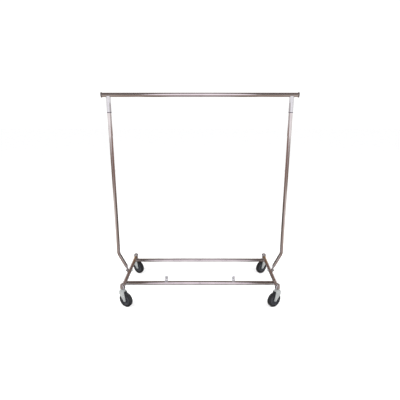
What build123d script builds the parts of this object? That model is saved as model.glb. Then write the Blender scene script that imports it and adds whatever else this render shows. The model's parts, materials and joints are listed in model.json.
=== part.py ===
"""Rolling garment rail: chromed tube frame on four swivel casters.

+X runs along the hanging rail, +Y from front to rear and +Z up.
The origin is on the floor, under the middle of the base frame. Millimetres.
"""
from build123d import *
import os
from math import atan2, cos, radians, sin, sqrt

os.makedirs("parts", exist_ok=True)

# ---------------------------------------------------------------- hanging rail
RAIL_LENGTH = 1524.0                      # face to face of the end caps
RAIL_HEIGHT = 1639.0                      # rail axis above the floor
RAIL_R = 31.75 / 2
RAIL_WALL = 1.5
END_CAP_R = 20.5
END_CAP_DEPTH = 12.0
END_CAP_CROWN = 1.5                       # doming of the cap's face
ROD_R = 14.07                             # extension rod inside the rail
ROD_WALL = 1.5
ROD_LENGTH = 420.0
ROD_PLUG_DEPTH = 30.0

# ------------------------------------------------------------- uprights, posts
UPRIGHT_X = 706.0                         # upright axis from the middle
UPRIGHT_R = 28.6 / 2
UPRIGHT_WALL = 1.5
UPRIGHT_TOP = 1415.0
BEND_HEIGHT = 323.0                       # corner of the bent centre line
BEND_RADIUS = 60.0
FOOT_SLOPE = 61.0 / 123.0                 # inward run per unit of drop below the bend
FOOT_HEIGHT = 205.0                       # tube ends here, above the pivot lug
POST_R = 31.75 / 2                        # sliding post over the upright
POST_BORE_R = UPRIGHT_R + 0.075
POST_BOTTOM = 1330.0
POST_TOP = RAIL_HEIGHT - RAIL_R - 0.6
ADJUST_HOLE_R = 4.2
ADJUST_HOLE_HEIGHTS = (1391.0, 1437.0)
SOCKET_R = 34.9 / 2
SOCKET_BORE_R = POST_R + 0.075
SOCKET_TOP = RAIL_HEIGHT - 9.0
COLLAR_R = 17.9
COLLAR_BOTTOM = 1505.0
COLLAR_TOP = 1511.0

# ----------------------------------------------------------------- snap button
BUTTON_HEIGHT = 1048.0
BUTTON_R = 4.0
BUTTON_HOLE_R = 4.08
BUTTON_PROUD = 3.0                        # also the button's travel
BUTTON_FLANGE_R = 5.5
BUTTON_FLANGE = 1.2
SPRING_WIDTH = 8.0
SPRING_THICK = 0.8
SPRING_LENGTH = 55.0
SPRING_GAP = 4.2                          # far arm to the tube wall behind it

# ------------------------------------------------------------------ base frame
BAR_R = 31.75 / 2
BAR_WALL = 1.6
BAR_HEIGHT = 162.0
SIDE_BAR_X = 617.0
FRONT_BAR_Y = -222.0
REAR_BAR_Y = 208.0
LONG_BAR_END = SIDE_BAR_X - 2.0
CORNER_Y = 289.0
CORNER_POST_R = 22.2 / 2
CORNER_POST_BOTTOM = 146.0
CORNER_POST_TOP = 186.0
CAP_R = 21.0
CAP_SKIRT = 153.0
CAP_SHOULDER = 181.0
CAP_TOP = 196.0

# ---------------------------------------------------------------- pivot at foot
BOLT_R = 5.0
BOLT_HOLE_R = 5.06                        # running fit in the lug
BOLT_HEAD_R = 9.2
BOLT_HEAD = 6.4
LUG_X = SIDE_BAR_X + BAR_R + 1.65         # inner face of the lug
LUG_THICK = 7.6
LUG_WIDTH = 34.0
LUG_NECK = 180.0                          # plate below this, loft above
LUG_SPIGOT = 22.0
SPACER_R = 12.0
NUT_R = 9.2
NUT_HEX = 7.0
NUT_DOME = 7.5
NUT_DOME_R = 7.6

# --------------------------------------------------------------- storage clips
CLIP_X = 274.0
CLIP_WIDTH = 24.5
CLIP_THICK = 1.6
CLIP_BORE_R = 16.0
CLIP_HEIGHT = BAR_HEIGHT + BAR_R + CLIP_THICK + CLIP_BORE_R
RIVET_R = 2.4
RIVET_HEAD_R = 3.9
RIVET_SEAT = CLIP_HEIGHT - CLIP_BORE_R    # lowest line of the clip's bore

# --------------------------------------------------------------------- casters
WHEEL_R = 60.0
WHEEL_WIDTH = 30.0
TYRE_BORE_R = 41.5
HUB_HALF = 16.2
TRAIL = 27.5                              # kingpin to wheel axle
FORK_INNER = 17.0                         # half the gap between the legs
FORK_THICK = 3.0
FORK_TOP = 134.0
FORK_HALF_LENGTH = 23.0
FORK_SHOULDER = 102.0
FORK_TIP_R = 11.5
FORK_OUTER = FORK_INNER + FORK_THICK
FORK_ROUND = 8.0
RACE_R = 22.0
RACE_TOP = 137.0
RACE_SKIRT = 7.0
RUN_GAP = 0.3                             # gap between swivelling faces
KINGPIN_R = 6.0
KINGPIN_HOLE_R = 6.06
STEM_R = 11.1 / 2
STEM_TOP = 182.0
AXLE_R = 4.0
AXLE_BORE_R = 4.06
AXLE_HEX_R = 7.5
AXLE_HEAD = 5.3
AXLE_NUT = 6.5
TREAD_ROUND = 8.0
BEAD_ROUND = 1.5
HUB_R = 13.0
# wheel centre: half width, inner and outer radius of each step
CORE_STEPS = (
    (HUB_HALF, AXLE_BORE_R, HUB_R),
    (6.0, HUB_R, 35.0),
    (13.0, 35.0, TYRE_BORE_R),
)

SIDES = (("left", -1), ("right", 1))
# corner name, side sign, depth sign, direction in which the wheel trails
CORNERS = (
    ("front_left", -1, -1, -29.0),
    ("front_right", 1, -1, 209.0),
    ("rear_left", -1, 1, -34.0),
    ("rear_right", 1, 1, 214.0),
)


def dome_middle(rim_r, height):
    """Radius and drop below the top of the point midway along a spherical dome's arc."""
    sphere_r = (rim_r**2 + height**2) / (2 * height)
    half_turn = atan2(rim_r, sphere_r - height) / 2
    return sphere_r * sin(half_turn), sphere_r * (1 - cos(half_turn))


# ------------------------------------------------------- rail and its end rods
with BuildPart() as rail_tube:
    with BuildSketch(Plane.YZ.offset(END_CAP_DEPTH - RAIL_LENGTH / 2)):
        with Locations((0, RAIL_HEIGHT)):
            Circle(RAIL_R)
            Circle(RAIL_R - RAIL_WALL, mode=Mode.SUBTRACT)
    extrude(amount=RAIL_LENGTH - 2 * END_CAP_DEPTH)
rail_tube.part.label = "rail_tube"
export_step(rail_tube.part, "parts/rail_tube.step")

rod_bore_r = ROD_R - ROD_WALL
face_r = END_CAP_R - 1.3
face_middle = dome_middle(face_r, END_CAP_CROWN)
for side, sx in SIDES:
    # outward face of the rail end, with local +Z pointing out of the rail
    rail_end = Plane(
        origin=(sx * (RAIL_LENGTH / 2 - END_CAP_DEPTH), 0, RAIL_HEIGHT),
        x_dir=(0, 1, 0),
        z_dir=(sx, 0, 0),
    )

    with BuildPart() as extension_rod:
        with BuildSketch(rail_end):
            Circle(ROD_R)
            Circle(rod_bore_r, mode=Mode.SUBTRACT)
        extrude(amount=-ROD_LENGTH)
    extension_rod.part.label = f"extension_rod_{side}"
    export_step(extension_rod.part, f"parts/extension_rod_{side}.step")

    # turned cap: plug in the rod, narrow neck, then a wide rim with a domed face
    with BuildPart() as end_cap:
        with BuildSketch(Plane(origin=rail_end.origin, x_dir=rail_end.z_dir, z_dir=(0, -1, 0))):
            with BuildLine():
                Polyline(
                    (-ROD_PLUG_DEPTH, 0),
                    (-ROD_PLUG_DEPTH, rod_bore_r),
                    (0, rod_bore_r),
                    (0, ROD_R),
                    (RUN_GAP, ROD_R),
                    (RUN_GAP, RAIL_R - 0.6),
                    (2.4, RAIL_R + 0.6),
                    (4.0, END_CAP_R - 1.0),
                    (5.2, END_CAP_R),
                    (9.2, END_CAP_R),
                )
                ThreePointArc((9.2, END_CAP_R), (10.1, END_CAP_R - 0.4), (10.5, face_r))
                ThreePointArc(
                    (END_CAP_DEPTH - END_CAP_CROWN, face_r),
                    (END_CAP_DEPTH - face_middle[1], face_middle[0]),
                    (END_CAP_DEPTH, 0),
                )
                Line((END_CAP_DEPTH, 0), (-ROD_PLUG_DEPTH, 0))
            make_face()
        revolve(axis=Axis(rail_end.origin, (1, 0, 0)))
    end_cap.part.label = f"end_cap_{side}"
    export_step(end_cap.part, f"parts/end_cap_{side}.step")

    # sleeve under the rail, its upper edge coped round the rail
    with BuildPart() as rail_socket:
        with BuildSketch(Plane.XY.offset(COLLAR_TOP)):
            with Locations((sx * UPRIGHT_X, 0)):
                Circle(SOCKET_R)
                Circle(SOCKET_BORE_R, mode=Mode.SUBTRACT)
        extrude(amount=SOCKET_TOP - COLLAR_TOP)
        with BuildSketch(Plane.YZ.offset(sx * UPRIGHT_X)):
            with Locations((0, RAIL_HEIGHT)):
                Circle(RAIL_R)
        extrude(amount=SOCKET_R, both=True, mode=Mode.SUBTRACT)
    rail_socket.part.label = f"rail_socket_{side}"
    export_step(rail_socket.part, f"parts/rail_socket_{side}.step")

    with BuildPart() as socket_collar:
        with BuildSketch(Plane.XY.offset(COLLAR_BOTTOM)):
            with Locations((sx * UPRIGHT_X, 0)):
                Circle(COLLAR_R)
                Circle(SOCKET_BORE_R, mode=Mode.SUBTRACT)
        extrude(amount=COLLAR_TOP - COLLAR_BOTTOM)
        chamfer(socket_collar.edges().filter_by(GeomType.CIRCLE).sort_by(Axis.Z)[:2], 0.5)
    socket_collar.part.label = f"socket_collar_{side}"
    export_step(socket_collar.part, f"parts/socket_collar_{side}.step")


# ---------------------------------------------- sliding posts and bent uprights
foot_x = UPRIGHT_X - FOOT_SLOPE * (BEND_HEIGHT - FOOT_HEIGHT)
button_face = UPRIGHT_X - UPRIGHT_R - BUTTON_PROUD
tube_bore_r = UPRIGHT_R - UPRIGHT_WALL
# the flat flange stops where its rim meets the round bore
flange_back = UPRIGHT_X - sqrt(tube_bore_r**2 - BUTTON_FLANGE_R**2) + RUN_GAP
spring_back = UPRIGHT_X + tube_bore_r - SPRING_GAP

for side, sx in SIDES:
    with BuildPart() as upper_post:
        with BuildSketch(Plane.XY.offset(POST_BOTTOM)):
            with Locations((sx * UPRIGHT_X, 0)):
                Circle(POST_R)
                Circle(POST_BORE_R, mode=Mode.SUBTRACT)
        extrude(amount=POST_TOP - POST_BOTTOM)
        # adjusting holes through the wall that faces the middle of the rack
        with BuildSketch(Plane.YZ.offset(sx * (UPRIGHT_X - POST_R - 1.0))):
            with Locations(*[(0, height) for height in ADJUST_HOLE_HEIGHTS]):
                Circle(ADJUST_HOLE_R)
        extrude(amount=sx * 8.0, mode=Mode.SUBTRACT)
    upper_post.part.label = f"upper_post_{side}"
    export_step(upper_post.part, f"parts/upper_post_{side}.step")

    with BuildPart() as upright:
        with BuildLine(Plane.XZ) as upright_path:
            FilletPolyline(
                (sx * foot_x, FOOT_HEIGHT),
                (sx * UPRIGHT_X, BEND_HEIGHT),
                (sx * UPRIGHT_X, UPRIGHT_TOP),
                radius=BEND_RADIUS,
            )
        foot_plane = Plane(
            origin=(sx * foot_x, 0, FOOT_HEIGHT),
            x_dir=(0, 1, 0),
            z_dir=(sx * FOOT_SLOPE, 0, 1),
        )
        with BuildSketch(foot_plane):
            Circle(UPRIGHT_R)
            Circle(tube_bore_r, mode=Mode.SUBTRACT)
        sweep(path=upright_path.wire())
        with BuildSketch(Plane.YZ.offset(sx * button_face)):
            with Locations((0, BUTTON_HEIGHT)):
                Circle(BUTTON_HOLE_R)
        extrude(amount=sx * 8.0, mode=Mode.SUBTRACT)
    upright.part.label = f"upright_{side}"
    export_step(upright.part, f"parts/upright_{side}.step")

    # forged lug: spigot in the tube, a neck from round to flat, and a drilled plate
    with BuildPart() as pivot_lug:
        with BuildSketch(foot_plane):
            Circle(tube_bore_r)
        extrude(amount=LUG_SPIGOT)
        with BuildSketch(foot_plane):
            Circle(UPRIGHT_R)
        with BuildSketch(Plane.XY.offset(LUG_NECK)):
            with Locations((sx * (LUG_X + LUG_THICK / 2), 0)):
                Rectangle(LUG_THICK, LUG_WIDTH)
        loft()
        with BuildSketch(Plane.YZ.offset(sx * LUG_X)):
            with BuildLine():
                Polyline(
                    (-LUG_WIDTH / 2, BAR_HEIGHT),
                    (-LUG_WIDTH / 2, LUG_NECK),
                    (LUG_WIDTH / 2, LUG_NECK),
                    (LUG_WIDTH / 2, BAR_HEIGHT),
                )
                ThreePointArc(
                    (LUG_WIDTH / 2, BAR_HEIGHT),
                    (0, BAR_HEIGHT - LUG_WIDTH / 2),
                    (-LUG_WIDTH / 2, BAR_HEIGHT),
                )
            make_face()
            with Locations((0, BAR_HEIGHT)):
                Circle(BOLT_HOLE_R, mode=Mode.SUBTRACT)
        extrude(amount=sx * LUG_THICK)
    pivot_lug.part.label = f"pivot_lug_{side}"
    export_step(pivot_lug.part, f"parts/pivot_lug_{side}.step")

    # button pressed in towards the upright's axis, with a flange that stops it
    button_axis = Plane(
        origin=(sx * button_face, 0, BUTTON_HEIGHT),
        x_dir=(0, 1, 0),
        z_dir=(sx, 0, 0),
    )
    with BuildPart() as snap_button:
        with BuildSketch(button_axis):
            Circle(BUTTON_R)
        extrude(amount=flange_back - button_face)
        fillet(snap_button.edges().group_by(Axis.X)[0 if sx > 0 else -1], 1.4)
        with BuildSketch(button_axis.offset(flange_back - button_face)):
            Circle(BUTTON_FLANGE_R)
        extrude(amount=BUTTON_FLANGE)
    snap_button.part.label = f"snap_button_{side}"
    export_step(snap_button.part, f"parts/snap_button_{side}.step")

    # leaf spring bent like a hairpin, hanging below the button inside the tube
    with BuildPart() as button_spring:
        near_arm = sx * (flange_back + BUTTON_FLANGE + SPRING_THICK / 2)
        far_arm = sx * (spring_back - SPRING_THICK / 2)
        with BuildLine(Plane.XZ) as spring_path:
            FilletPolyline(
                (near_arm, BUTTON_HEIGHT + 4.5),
                (near_arm, BUTTON_HEIGHT - SPRING_LENGTH),
                (far_arm, BUTTON_HEIGHT - SPRING_LENGTH),
                (far_arm, BUTTON_HEIGHT - 12.0),
                radius=5.0,
            )
        with BuildSketch(Plane.XY.offset(BUTTON_HEIGHT + 4.5)):
            with Locations((near_arm, 0)):
                Rectangle(SPRING_THICK, SPRING_WIDTH)
        sweep(path=spring_path.wire())
    button_spring.part.label = f"button_spring_{side}"
    export_step(button_spring.part, f"parts/button_spring_{side}.step")


# ------------------------------------------------------------------ base frame
for end, bar_y in (("front", FRONT_BAR_Y), ("rear", REAR_BAR_Y)):
    with BuildPart() as long_bar:
        with BuildSketch(Plane.YZ.offset(-LONG_BAR_END)):
            with Locations((bar_y, BAR_HEIGHT)):
                Circle(BAR_R)
                Circle(BAR_R - BAR_WALL, mode=Mode.SUBTRACT)
        extrude(amount=2 * LONG_BAR_END)
        # ends coped to the round side bars
        with BuildSketch(Plane.XZ.offset(-bar_y)):
            with Locations((-SIDE_BAR_X, BAR_HEIGHT), (SIDE_BAR_X, BAR_HEIGHT)):
                Circle(BAR_R)
        extrude(amount=2 * BAR_R, both=True, mode=Mode.SUBTRACT)
        if end == "front":
            with BuildSketch(Plane.XY.offset(BAR_HEIGHT)):
                with Locations((-CLIP_X, FRONT_BAR_Y), (CLIP_X, FRONT_BAR_Y)):
                    Circle(RIVET_R)
            extrude(amount=2 * BAR_R, mode=Mode.SUBTRACT)
    long_bar.part.label = f"{end}_bar"
    export_step(long_bar.part, f"parts/{end}_bar.step")

nut_face = LUG_X + LUG_THICK + RUN_GAP
nut_middle = dome_middle(NUT_DOME_R, NUT_DOME)
for side, sx in SIDES:
    with BuildPart() as side_bar:
        with BuildSketch(Plane.XZ.offset(-CORNER_Y)):
            with Locations((sx * SIDE_BAR_X, BAR_HEIGHT)):
                Circle(BAR_R)
                Circle(BAR_R - BAR_WALL, mode=Mode.SUBTRACT)
        extrude(amount=2 * CORNER_Y)
        # ends fitted round the corner posts
        with BuildSketch(Plane.XY.offset(BAR_HEIGHT - 2 * BAR_R)):
            with Locations((sx * SIDE_BAR_X, -CORNER_Y), (sx * SIDE_BAR_X, CORNER_Y)):
                Circle(CORNER_POST_R)
        extrude(amount=4 * BAR_R, mode=Mode.SUBTRACT)
        # hole for the pivot bolt
        with BuildSketch(Plane.YZ.offset(sx * SIDE_BAR_X)):
            with Locations((0, BAR_HEIGHT)):
                Circle(BOLT_R)
        extrude(amount=2 * BAR_R, both=True, mode=Mode.SUBTRACT)
    side_bar.part.label = f"side_bar_{side}"
    export_step(side_bar.part, f"parts/side_bar_{side}.step")

    # round spacer, hollowed to sit on the side bar and flat towards the lug
    with BuildPart() as pivot_spacer:
        with BuildSketch(Plane.YZ.offset(sx * SIDE_BAR_X)):
            with Locations((0, BAR_HEIGHT)):
                Circle(SPACER_R)
                Circle(BOLT_R, mode=Mode.SUBTRACT)
        extrude(amount=sx * (LUG_X - RUN_GAP - SIDE_BAR_X))
        with BuildSketch(Plane.XZ):
            with Locations((sx * SIDE_BAR_X, BAR_HEIGHT)):
                Circle(BAR_R)
        extrude(amount=2 * SPACER_R, both=True, mode=Mode.SUBTRACT)
    pivot_spacer.part.label = f"pivot_spacer_{side}"
    export_step(pivot_spacer.part, f"parts/pivot_spacer_{side}.step")

    with BuildPart() as pivot_bolt:
        with BuildSketch(Plane.YZ.offset(sx * (SIDE_BAR_X - BAR_R))):
            with Locations((0, BAR_HEIGHT)):
                Circle(BOLT_R)
        extrude(amount=sx * (nut_face + NUT_HEX - SIDE_BAR_X + BAR_R))
        with BuildSketch(Plane.YZ.offset(sx * (SIDE_BAR_X - BAR_R))):
            with Locations((0, BAR_HEIGHT)):
                RegularPolygon(BOLT_HEAD_R, 6)
        extrude(amount=-sx * BOLT_HEAD)
    pivot_bolt.part.label = f"pivot_bolt_{side}"
    export_step(pivot_bolt.part, f"parts/pivot_bolt_{side}.step")

    # acorn nut on the outer end of the bolt
    with BuildPart() as pivot_nut:
        with BuildSketch(Plane.YZ.offset(sx * nut_face)):
            with Locations((0, BAR_HEIGHT)):
                RegularPolygon(NUT_R, 6)
                Circle(BOLT_R, mode=Mode.SUBTRACT)
        extrude(amount=sx * NUT_HEX)
        nut_top = Plane(origin=(sx * (nut_face + NUT_HEX), 0, BAR_HEIGHT), x_dir=(1, 0, 0), z_dir=(0, -1, 0))
        with BuildSketch(nut_top):
            with BuildLine():
                Line((0, 0), (0, NUT_DOME_R))
                ThreePointArc(
                    (0, NUT_DOME_R),
                    (sx * (NUT_DOME - nut_middle[1]), nut_middle[0]),
                    (sx * NUT_DOME, 0),
                )
                Line((sx * NUT_DOME, 0), (0, 0))
            make_face()
        revolve(axis=Axis((0, 0, BAR_HEIGHT), (1, 0, 0)))
    pivot_nut.part.label = f"pivot_nut_{side}"
    export_step(pivot_nut.part, f"parts/pivot_nut_{side}.step")

    # open spring clip that holds the taken-off rail, high lip at the rear
    with BuildPart() as storage_clip:
        strap_r = CLIP_BORE_R + CLIP_THICK / 2
        clip_plane = Plane(origin=(sx * CLIP_X, FRONT_BAR_Y, CLIP_HEIGHT), x_dir=(0, 1, 0), z_dir=(1, 0, 0))
        with BuildSketch(clip_plane):
            with BuildLine():
                arc = CenterArc((0, 0), strap_r, 160, 200)
                Line((-19.6, 9.4), arc @ 0)
                Line((strap_r, 0), (strap_r, 15.5))
                Line((strap_r, 15.5), (strap_r + 3.0, 20.5))
                offset(amount=CLIP_THICK / 2, side=Side.BOTH)
            make_face()
        extrude(amount=CLIP_WIDTH / 2, both=True)
        # 90 degree countersink for the rivet
        with BuildSketch(Plane.XY.offset(RIVET_SEAT + 0.8)):
            with Locations((sx * CLIP_X, FRONT_BAR_Y)):
                Circle(RIVET_R + CLIP_THICK + 0.8)
        with BuildSketch(Plane.XY.offset(RIVET_SEAT - CLIP_THICK)):
            with Locations((sx * CLIP_X, FRONT_BAR_Y)):
                Circle(RIVET_R)
        loft(mode=Mode.SUBTRACT)
    storage_clip.part.label = f"storage_clip_{side}"
    export_step(storage_clip.part, f"parts/storage_clip_{side}.step")

# countersunk blind rivets, one for each clip
with BuildPart() as clip_rivets:
    with BuildSketch(Plane.XZ.offset(-FRONT_BAR_Y)) as rivet_profile:
        with BuildLine():
            Polyline(
                (CLIP_X, RIVET_SEAT - 0.1),
                (CLIP_X + RIVET_HEAD_R, RIVET_SEAT - 0.1),
                (CLIP_X + RIVET_R, RIVET_SEAT - CLIP_THICK),
                (CLIP_X + RIVET_R, RIVET_SEAT - CLIP_THICK - 1.9),
                (CLIP_X + RIVET_R + 1.2, RIVET_SEAT - CLIP_THICK - 3.4),
                (CLIP_X + RIVET_R, RIVET_SEAT - CLIP_THICK - 7.0),
                (CLIP_X, RIVET_SEAT - CLIP_THICK - 7.0),
                close=True,
            )
        make_face()
    revolve(axis=Axis((CLIP_X, FRONT_BAR_Y, 0), (0, 0, 1)))
    mirror(about=Plane.YZ)
clip_rivets.part.label = "clip_rivets"
export_step(clip_rivets.part, "parts/clip_rivets.step")


# ------------------------------------------------- corner posts, caps, casters
cap_middle = dome_middle(CAP_R, CAP_TOP - CAP_SHOULDER)
for corner, sx, sy, yaw in CORNERS:
    kingpin = (sx * SIDE_BAR_X, sy * CORNER_Y)
    pin_axis = Axis((*kingpin, 0), (0, 0, 1))

    with BuildPart() as corner_post:
        with BuildSketch(Plane.XY.offset(CORNER_POST_BOTTOM)):
            with Locations(kingpin):
                Circle(CORNER_POST_R)
                Circle(STEM_R, mode=Mode.SUBTRACT)
        extrude(amount=CORNER_POST_TOP - CORNER_POST_BOTTOM)
    corner_post.part.label = f"corner_post_{corner}"
    export_step(corner_post.part, f"parts/corner_post_{corner}.step")

    # domed cap, its skirt fitted over the side bar and the corner post
    with BuildPart() as corner_cap:
        with BuildSketch(Plane(origin=(*kingpin, 0), x_dir=(1, 0, 0), z_dir=(0, -1, 0))):
            with BuildLine():
                Polyline(
                    (0, CORNER_POST_TOP),
                    (CORNER_POST_R, CORNER_POST_TOP),
                    (CORNER_POST_R, CAP_SKIRT),
                    (CAP_R, CAP_SKIRT),
                    (CAP_R, CAP_SHOULDER),
                )
                ThreePointArc((CAP_R, CAP_SHOULDER), (cap_middle[0], CAP_TOP - cap_middle[1]), (0, CAP_TOP))
                Line((0, CAP_TOP), (0, CORNER_POST_TOP))
            make_face()
        revolve(axis=pin_axis)
        with BuildSketch(Plane.XZ):
            with Locations((kingpin[0], BAR_HEIGHT)):
                Circle(BAR_R)
        extrude(amount=-sy * CORNER_Y, mode=Mode.SUBTRACT)
    corner_cap.part.label = f"corner_cap_{corner}"
    export_step(corner_cap.part, f"parts/corner_cap_{corner}.step")

    # planes of this caster: across the fork, and along it through the kingpin
    trail_dir = (cos(radians(yaw)), sin(radians(yaw)), 0)
    axle_dir = (sin(radians(yaw)), -cos(radians(yaw)), 0)
    fork_side = Plane(origin=(*kingpin, 0), x_dir=trail_dir, z_dir=axle_dir)
    fork_cross = Plane(origin=(*kingpin, 0), x_dir=axle_dir, z_dir=(-trail_dir[0], -trail_dir[1], 0))
    axle_centre = (kingpin[0] + TRAIL * trail_dir[0], kingpin[1] + TRAIL * trail_dir[1], WHEEL_R)
    wheel_cross = Plane(origin=axle_centre, x_dir=axle_dir, z_dir=fork_cross.z_dir)
    axle_axis = Axis(axle_centre, axle_dir)

    # stem: grip stem in the corner post, upper race, and the riveted kingpin
    with BuildPart() as caster_stem:
        with BuildSketch(fork_side):
            with BuildLine():
                Polyline(
                    (0, FORK_TOP - FORK_THICK - RUN_GAP - 5.0),
                    (KINGPIN_R + 2.0, FORK_TOP - FORK_THICK - RUN_GAP - 5.0),
                    (KINGPIN_R + 3.5, FORK_TOP - FORK_THICK - RUN_GAP - 3.0),
                    (KINGPIN_R + 3.5, FORK_TOP - FORK_THICK - RUN_GAP),
                    (KINGPIN_R, FORK_TOP - FORK_THICK - RUN_GAP),
                    (KINGPIN_R, RACE_TOP + RUN_GAP),
                    (RACE_R - 1.0, RACE_TOP + RUN_GAP),
                    (RACE_R - 1.0, RACE_TOP + RUN_GAP + 2.5),
                )
                ThreePointArc(
                    (RACE_R - 1.0, RACE_TOP + RUN_GAP + 2.5),
                    (RACE_R - 5.5, CORNER_POST_BOTTOM - 2.6),
                    (CORNER_POST_R - 1.5, CORNER_POST_BOTTOM),
                )
                Polyline(
                    (CORNER_POST_R - 1.5, CORNER_POST_BOTTOM),
                    (STEM_R, CORNER_POST_BOTTOM),
                    (STEM_R, STEM_TOP - 1.5),
                    (STEM_R - 1.5, STEM_TOP),
                    (0, STEM_TOP),
                    (0, FORK_TOP - FORK_THICK - RUN_GAP - 5.0),
                )
            make_face()
        revolve(axis=pin_axis)
    caster_stem.part.label = f"caster_stem_{corner}"
    export_step(caster_stem.part, f"parts/caster_stem_{corner}.step")

    # pressed fork: a round-shouldered channel trimmed to the outline of its legs
    with BuildPart() as caster_fork:
        with BuildSketch(fork_cross) as channel:
            with Locations((0, FORK_TOP / 2)):
                Rectangle(2 * FORK_OUTER, FORK_TOP)
            fillet(channel.vertices().group_by(Axis.Y)[-1], FORK_ROUND)
            offset(amount=-FORK_THICK, mode=Mode.SUBTRACT)
        extrude(amount=2 * TRAIL, both=True)
        with BuildSketch(fork_side):
            with Locations((0, (FORK_TOP + FORK_SHOULDER) / 2)):
                Rectangle(2 * FORK_HALF_LENGTH, FORK_TOP - FORK_SHOULDER)
            with Locations((TRAIL, WHEEL_R)):
                Circle(FORK_TIP_R)
            make_hull()
        extrude(amount=2 * FORK_OUTER, both=True, mode=Mode.INTERSECT)
        # cup that houses the ball race
        with BuildSketch(Plane.XY.offset(FORK_TOP - RACE_SKIRT)):
            with Locations(kingpin):
                Circle(RACE_R)
                Circle(RACE_R - FORK_THICK, mode=Mode.SUBTRACT)
        extrude(amount=RACE_SKIRT)
        with BuildSketch(Plane.XY.offset(FORK_TOP)):
            with Locations(kingpin):
                Circle(RACE_R)
        extrude(amount=RACE_TOP - FORK_TOP)
        with BuildSketch(Plane.XY.offset(FORK_TOP - FORK_THICK)):
            with Locations(kingpin):
                Circle(KINGPIN_HOLE_R)
        extrude(amount=RACE_TOP - FORK_TOP + FORK_THICK, mode=Mode.SUBTRACT)
        with BuildSketch(fork_side):
            with Locations((TRAIL, WHEEL_R)):
                Circle(AXLE_R)
        extrude(amount=2 * FORK_OUTER, both=True, mode=Mode.SUBTRACT)
    caster_fork.part.label = f"caster_fork_{corner}"
    export_step(caster_fork.part, f"parts/caster_fork_{corner}.step")

    with BuildPart() as tyre:
        with BuildSketch(wheel_cross) as tyre_section:
            with Locations((0, (WHEEL_R + TYRE_BORE_R) / 2)):
                Rectangle(WHEEL_WIDTH, WHEEL_R - TYRE_BORE_R)
            fillet(tyre_section.vertices().group_by(Axis.Y)[-1], TREAD_ROUND)
            fillet(tyre_section.vertices().group_by(Axis.Y)[0], BEAD_ROUND)
        revolve(axis=axle_axis)
    tyre.part.label = f"tyre_{corner}"
    export_step(tyre.part, f"parts/tyre_{corner}.step")

    # moulded wheel centre: long hub barrel, thin web and a rim for the tyre
    with BuildPart() as wheel_core:
        with BuildSketch(wheel_cross):
            for half_width, low_r, high_r in CORE_STEPS:
                with Locations((0, (low_r + high_r) / 2)):
                    Rectangle(2 * half_width, high_r - low_r)
        revolve(axis=axle_axis)
        fillet(wheel_core.edges().filter_by(GeomType.CIRCLE).filter_by(
            lambda edge: abs(edge.radius - HUB_R) < 0.01), 1.0)
    wheel_core.part.label = f"wheel_core_{corner}"
    export_step(wheel_core.part, f"parts/wheel_core_{corner}.step")

    # axle bolt, with a nut on the far leg
    with BuildPart() as axle_bolt:
        with BuildSketch(fork_side.offset(-FORK_OUTER)):
            with Locations((TRAIL, WHEEL_R)):
                Circle(AXLE_R)
        extrude(amount=2 * FORK_OUTER + AXLE_NUT + 2.0)
        with BuildSketch(fork_side.offset(-FORK_OUTER)):
            with Locations((TRAIL, WHEEL_R)):
                RegularPolygon(AXLE_HEX_R, 6)
        extrude(amount=-AXLE_HEAD)
    with BuildPart() as axle_nut:
        with BuildSketch(fork_side.offset(FORK_OUTER)):
            with Locations((TRAIL, WHEEL_R)):
                RegularPolygon(AXLE_HEX_R, 6)
                Circle(AXLE_R, mode=Mode.SUBTRACT)
        extrude(amount=AXLE_NUT)
    axle = Compound(label=f"axle_{corner}", children=[axle_bolt.part, axle_nut.part])
    export_step(axle, f"parts/axle_{corner}.step")
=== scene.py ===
"""Looks of the rolling garment rail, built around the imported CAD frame. Metres throughout."""
import json
import math

import bmesh
import bpy
from mathutils import Matrix, Vector


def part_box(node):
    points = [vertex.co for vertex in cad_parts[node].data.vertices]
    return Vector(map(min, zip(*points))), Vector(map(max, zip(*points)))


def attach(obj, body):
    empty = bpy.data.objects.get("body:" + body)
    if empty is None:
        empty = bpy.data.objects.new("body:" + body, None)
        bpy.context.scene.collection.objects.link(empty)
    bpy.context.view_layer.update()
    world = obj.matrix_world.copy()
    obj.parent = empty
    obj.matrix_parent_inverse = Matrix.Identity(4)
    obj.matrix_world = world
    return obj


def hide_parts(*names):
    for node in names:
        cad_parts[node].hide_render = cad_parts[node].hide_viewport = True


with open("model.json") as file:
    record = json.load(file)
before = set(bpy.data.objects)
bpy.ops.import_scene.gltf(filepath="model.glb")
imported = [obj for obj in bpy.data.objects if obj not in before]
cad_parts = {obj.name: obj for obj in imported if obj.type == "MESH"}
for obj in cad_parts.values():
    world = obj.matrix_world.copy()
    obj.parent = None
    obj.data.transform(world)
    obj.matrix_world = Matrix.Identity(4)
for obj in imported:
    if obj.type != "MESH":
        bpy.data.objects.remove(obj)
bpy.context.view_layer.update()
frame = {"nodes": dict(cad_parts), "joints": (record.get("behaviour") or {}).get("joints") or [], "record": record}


def middle(node):
    low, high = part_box(node)
    return (low + high) / 2


def half_size(node):
    low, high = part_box(node)
    return (high - low) / 2


# base frame and rail, measured on the CAD nodes
SIDES = (("left", -1), ("right", 1))
LONG_BARS = (("front", middle("front_bar").y), ("rear", middle("rear_bar").y))
TUBE_R = half_size("front_bar").y
BAR_HEIGHT = middle("rear_bar").z
SIDE_BAR_X = middle("side_bar_right").x
SOCKET_R = half_size("rail_socket_right").x
SOCKET_X = middle("rail_socket_right").x
RAIL_HEIGHT = middle("rail_tube").z

# ------------------------------------------------------------------- camera
IMAGE_SIDE = 400
FOCAL_PIXELS = 330.0
SENSOR_WIDTH = 36.0
CAMERA_PLACE = (0.0, -2.656, 1.508)
CAMERA_PITCH = math.radians(14.85)           # looking down


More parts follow.
